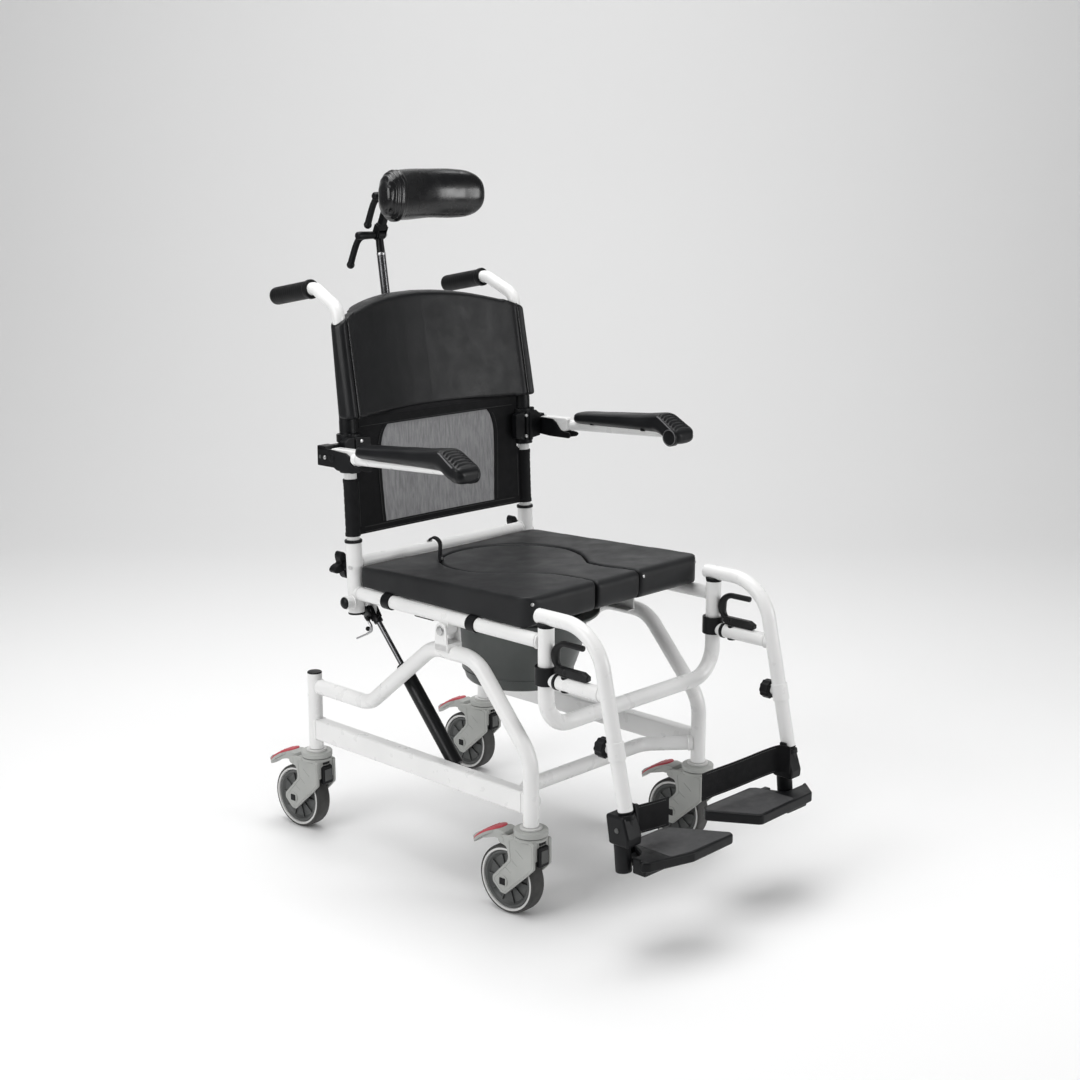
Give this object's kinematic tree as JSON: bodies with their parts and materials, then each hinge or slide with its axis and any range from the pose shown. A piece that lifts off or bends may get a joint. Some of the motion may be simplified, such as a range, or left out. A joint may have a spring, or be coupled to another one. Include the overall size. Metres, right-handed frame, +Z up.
{
  "type": "tilting commode and shower chair",
  "caption": "Wheeled shower and commode chair: white tube frame tilting on a gas spring, keyhole seat over a pan, mesh back, headrest, flip-up arms, swing-away leg rests, braked casters.",
  "frame": {"origin": "on the floor, below the centre of the whole chair's bounding box", "axes": "+Z up; -Y the way the chair faces; +X the user's left side"},
  "size_m": [0.613, 0.9955, 1.2638],
  "materials": {
    "white_powder_coat": "semi gloss powder coat",
    "caster_grey": "satin moulded plastic",
    "caster_tyre": "grey thermoplastic rubber on a dark hub",
    "pedal_red": "satin moulded plastic",
    "black_foam": "integral skin foam",
    "grey_mesh": "open weave",
    "black_webbing": "woven",
    "pan_grey": "moulded plastic",
    "polished_rod": "polished",
    "satin_steel": "satin",
    "black_painted": "gloss",
    "black_plastic": "moulded plastic"
  },
  "bodies": {
    "base": {"side_rail_right": "white_powder_coat", "side_rail_left": "white_powder_coat", "bent_tube_right": "white_powder_coat", "bent_tube_left": "white_powder_coat", "front_crossbar": "white_powder_coat"},
    "caster_front_right": {"fork_front_right": "caster_grey"},
    "wheel_front_right": {"wheel_front_right": "caster_tyre"},
    "pedal_front_right": {"pedal_front_right": "pedal_red"},
    "caster_front_left": {"fork_front_left": "caster_grey"},
    "wheel_front_left": {"wheel_front_left": "caster_tyre"},
    "pedal_front_left": {"pedal_front_left": "pedal_red"},
    "caster_rear_right": {"fork_rear_right": "caster_grey"},
    "wheel_rear_right": {"wheel_rear_right": "caster_tyre"},
    "pedal_rear_right": {"pedal_rear_right": "pedal_red"},
    "caster_rear_left": {"fork_rear_left": "caster_grey"},
    "wheel_rear_left": {"wheel_rear_left": "caster_tyre"},
    "pedal_rear_left": {"pedal_rear_left": "pedal_red"},
    "seat_frame": {"seat_rail_right": "white_powder_coat", "seat_rail_left": "white_powder_coat", "rear_cross_tube": "white_powder_coat", "upper_cross_tube": "white_powder_coat", "front_u_tube": "white_powder_coat"},
    "gas_cylinder": {"gas_cylinder": "black_painted"},
    "gas_rod": {"gas_rod": "polished_rod"},
    "release_lever": {"release_lever": "satin_steel"},
    "seat_pad": {"seat_pad": "black_foam"},
    "seat_infill": {"seat_infill": "black_foam"},
    "commode_pan": {"commode_pan": "pan_grey"},
    "back": {"cane_right": "white_powder_coat", "cane_left": "white_powder_coat", "grip_right": "black_plastic", "grip_left": "black_plastic", "back_crossbar": "white_powder_coat", "back_pad": "black_foam", "mesh_back": "grey_mesh", "arm_clamp_right": "black_plastic", "arm_clamp_left": "black_plastic"},
    "star_knob_right": {"star_knob_right": "black_plastic"},
    "arm_right": {"arm_tube_right": "white_powder_coat", "arm_pad_right": "black_foam"},
    "star_knob_left": {"star_knob_left": "black_plastic"},
    "arm_left": {"arm_tube_left": "white_powder_coat", "arm_pad_left": "black_foam"},
    "headrest_mast": {"headrest_mast": "satin_steel"},
    "headrest_link": {"headrest_link": "black_plastic"},
    "headrest_pad": {"headrest_pad": "black_foam"},
    "headrest_lever_lower": {"headrest_lever_lower": "black_plastic"},
    "headrest_lever_upper": {"headrest_lever_upper": "black_plastic"},
    "hanger_right": {"hanger_right": "white_powder_coat"},
    "latch_right": {"latch_right": "black_plastic"},
    "height_knob_right": {"height_knob_right": "black_plastic"},
    "footrest_right": {"footrest_tube_right": "black_plastic", "heel_strap_right": "black_webbing"},
    "footplate_right": {"footplate_right": "black_plastic"},
    "hanger_left": {"hanger_left": "white_powder_coat"},
    "latch_left": {"latch_left": "black_plastic"},
    "height_knob_left": {"height_knob_left": "black_plastic"},
    "footrest_left": {"footrest_tube_left": "black_plastic", "heel_strap_left": "black_webbing"},
    "footplate_left": {"footplate_left": "black_plastic"}
  },
  "joints": [
    {"name": "swivel_front_right", "type": "hinge", "parent": "base", "child": "caster_front_right", "pos_m": [-0.2263, -0.2117, 0.168], "axis": [0, 0, 1], "continuous": true},
    {"name": "roll_front_right", "type": "hinge", "parent": "caster_front_right", "child": "wheel_front_right", "pos_m": [-0.22859, -0.16796, 0.06211], "axis": [0.9986, 0.0523, 0], "continuous": true},
    {"name": "brake_front_right", "type": "hinge", "parent": "caster_front_right", "child": "pedal_front_right", "pos_m": [-0.22881, -0.16377, 0.1375], "axis": [-0.9986, -0.0523, 0], "range_deg": [0, 12]},
    {"name": "swivel_front_left", "type": "hinge", "parent": "base", "child": "caster_front_left", "pos_m": [0.2263, -0.2117, 0.168], "axis": [0, 0, 1], "continuous": true},
    {"name": "roll_front_left", "type": "hinge", "parent": "caster_front_left", "child": "wheel_front_left", "pos_m": [0.22401, -0.16796, 0.06211], "axis": [0.9986, 0.0523, 0], "continuous": true},
    {"name": "brake_front_left", "type": "hinge", "parent": "caster_front_left", "child": "pedal_front_left", "pos_m": [0.22379, -0.16377, 0.1375], "axis": [-0.9986, -0.0523, 0], "range_deg": [0, 12]},
    {"name": "swivel_rear_right", "type": "hinge", "parent": "base", "child": "caster_rear_right", "pos_m": [-0.2263, 0.3683, 0.168], "axis": [0, 0, 1], "continuous": true},
    {"name": "roll_rear_right", "type": "hinge", "parent": "caster_rear_right", "child": "wheel_rear_right", "pos_m": [-0.22859, 0.41204, 0.06211], "axis": [0.9986, 0.0523, 0], "continuous": true},
    {"name": "brake_rear_right", "type": "hinge", "parent": "caster_rear_right", "child": "pedal_rear_right", "pos_m": [-0.22881, 0.41623, 0.1375], "axis": [-0.9986, -0.0523, 0], "range_deg": [0, 12]},
    {"name": "swivel_rear_left", "type": "hinge", "parent": "base", "child": "caster_rear_left", "pos_m": [0.2263, 0.3683, 0.168], "axis": [0, 0, 1], "continuous": true},
    {"name": "roll_rear_left", "type": "hinge", "parent": "caster_rear_left", "child": "wheel_rear_left", "pos_m": [0.22401, 0.41204, 0.06211], "axis": [0.9986, 0.0523, 0], "continuous": true},
    {"name": "brake_rear_left", "type": "hinge", "parent": "caster_rear_left", "child": "pedal_rear_left", "pos_m": [0.22379, 0.41623, 0.1375], "axis": [-0.9986, -0.0523, 0], "range_deg": [0, 12]},
    {"name": "tilt", "type": "hinge", "parent": "base", "child": "seat_frame", "pos_m": [0, -0.0087, 0.479], "axis": [-1, 0, 0], "range_deg": [0, 25]},
    {"name": "gas_swing", "type": "hinge", "parent": "base", "child": "gas_cylinder", "pos_m": [-0.19, -0.0017, 0.197], "axis": [-1, 0, 0], "range_deg": [0, 10.3]},
    {"name": "gas_stroke", "type": "slide", "parent": "gas_cylinder", "child": "gas_rod", "axis": [0, -0.6703, -0.7421], "range_m": [0, 0.092]},
    {"name": "release", "type": "hinge", "parent": "gas_rod", "child": "release_lever", "pos_m": [-0.2002, 0.2363, 0.4605], "axis": [1, 0, 0], "range_deg": [0, 12], "stiffness_Nm_per_rad": 0.4, "springref_deg": -5.73},
    {"name": "seat_lift", "type": "slide", "parent": "seat_frame", "child": "seat_pad", "axis": [0, 0, 1], "range_m": [0, 0.1]},
    {"name": "infill_lift", "type": "slide", "parent": "seat_pad", "child": "seat_infill", "axis": [0, 0, 1], "range_m": [0, 0.1]},
    {"name": "pan_slide", "type": "slide", "parent": "seat_frame", "child": "commode_pan", "axis": [0, 1, 0], "range_m": [0, 0.36]},
    {"name": "back_height", "type": "slide", "parent": "seat_frame", "child": "back", "axis": [0, 0.038, 0.9993], "range_m": [0, 0.06]},
    {"name": "socket_knob_right", "type": "hinge", "parent": "seat_frame", "child": "star_knob_right", "pos_m": [-0.2248, 0.2683, 0.547], "axis": [0, 1, 0], "range_deg": [0, 360]},
    {"name": "arm_flip_right", "type": "hinge", "parent": "back", "child": "arm_right", "pos_m": [-0.28, 0.2283, 0.761], "axis": [-1, 0, 0], "range_deg": [0, 90]},
    {"name": "socket_knob_left", "type": "hinge", "parent": "seat_frame", "child": "star_knob_left", "pos_m": [0.2248, 0.2683, 0.547], "axis": [0, 1, 0], "range_deg": [0, 360]},
    {"name": "arm_flip_left", "type": "hinge", "parent": "back", "child": "arm_left", "pos_m": [0.28, 0.2283, 0.761], "axis": [-1, 0, 0], "range_deg": [0, 90]},
    {"name": "headrest_height", "type": "slide", "parent": "back", "child": "headrest_mast", "axis": [0, 0.1464, 0.9892], "range_m": [0, 0.08]},
    {"name": "headrest_reach", "type": "hinge", "parent": "headrest_mast", "child": "headrest_link", "pos_m": [0, 0.4168, 1.1385], "axis": [1, 0, 0], "range_deg": [-20, 30]},
    {"name": "headrest_angle", "type": "hinge", "parent": "headrest_link", "child": "headrest_pad", "pos_m": [0, 0.3833, 1.213], "axis": [1, 0, 0], "range_deg": [-25, 25]},
    {"name": "clamp_lower", "type": "hinge", "parent": "headrest_link", "child": "headrest_lever_lower", "pos_m": [0, 0.4168, 1.1385], "axis": [1, 0, 0], "range_deg": [-30, 60]},
    {"name": "clamp_upper", "type": "hinge", "parent": "headrest_pad", "child": "headrest_lever_upper", "pos_m": [0, 0.3833, 1.213], "axis": [1, 0, 0], "range_deg": [0, 60]},
    {"name": "legrest_swing_right", "type": "hinge", "parent": "seat_frame", "child": "hanger_right", "pos_m": [-0.2225, -0.2437, 0.528], "axis": [0, 0, -1], "range_deg": [0, 90]},
    {"name": "latch_release_right", "type": "hinge", "parent": "hanger_right", "child": "latch_right", "pos_m": [-0.2222, -0.2887, 0.4575], "axis": [0, 0, -1], "range_deg": [0, 15], "stiffness_Nm_per_rad": 0.3, "springref_deg": -5.73},
    {"name": "leg_length_right", "type": "slide", "parent": "hanger_right", "child": "footrest_right", "axis": [0, -0.2189, -0.9758], "range_m": [0, 0.08]},
    {"name": "leg_knob_right", "type": "hinge", "parent": "hanger_right", "child": "height_knob_right", "pos_m": [-0.2222, -0.38044, 0.348], "axis": [0, 1, 0], "range_deg": [0, 360]},
    {"name": "footplate_flip_right", "type": "hinge", "parent": "footrest_right", "child": "footplate_right", "pos_m": [-0.184, -0.4217, 0.159], "axis": [0, -1, 0], "range_deg": [0, 90], "deforming": ["heel_strap_right"]},
    {"name": "legrest_swing_left", "type": "hinge", "parent": "seat_frame", "child": "hanger_left", "pos_m": [0.2225, -0.2437, 0.528], "axis": [0, 0, 1], "range_deg": [0, 90]},
    {"name": "latch_release_left", "type": "hinge", "parent": "hanger_left", "child": "latch_left", "pos_m": [0.2222, -0.2887, 0.4575], "axis": [0, 0, 1], "range_deg": [0, 15], "stiffness_Nm_per_rad": 0.3, "springref_deg": -5.73},
    {"name": "leg_length_left", "type": "slide", "parent": "hanger_left", "child": "footrest_left", "axis": [0, -0.2189, -0.9758], "range_m": [0, 0.08]},
    {"name": "leg_knob_left", "type": "hinge", "parent": "hanger_left", "child": "height_knob_left", "pos_m": [0.2222, -0.38044, 0.348], "axis": [0, 1, 0], "range_deg": [0, 360]},
    {"name": "footplate_flip_left", "type": "hinge", "parent": "footrest_left", "child": "footplate_left", "pos_m": [0.184, -0.4217, 0.159], "axis": [0, 1, 0], "range_deg": [0, 90], "deforming": ["heel_strap_left"]}
  ],
  "couplings": [
    {"joint": "gas_swing", "follows": "tilt", "ratio": 0.405},
    {"joint": "gas_stroke", "follows": "tilt", "m_per_rad": 0.2088}
  ]
}
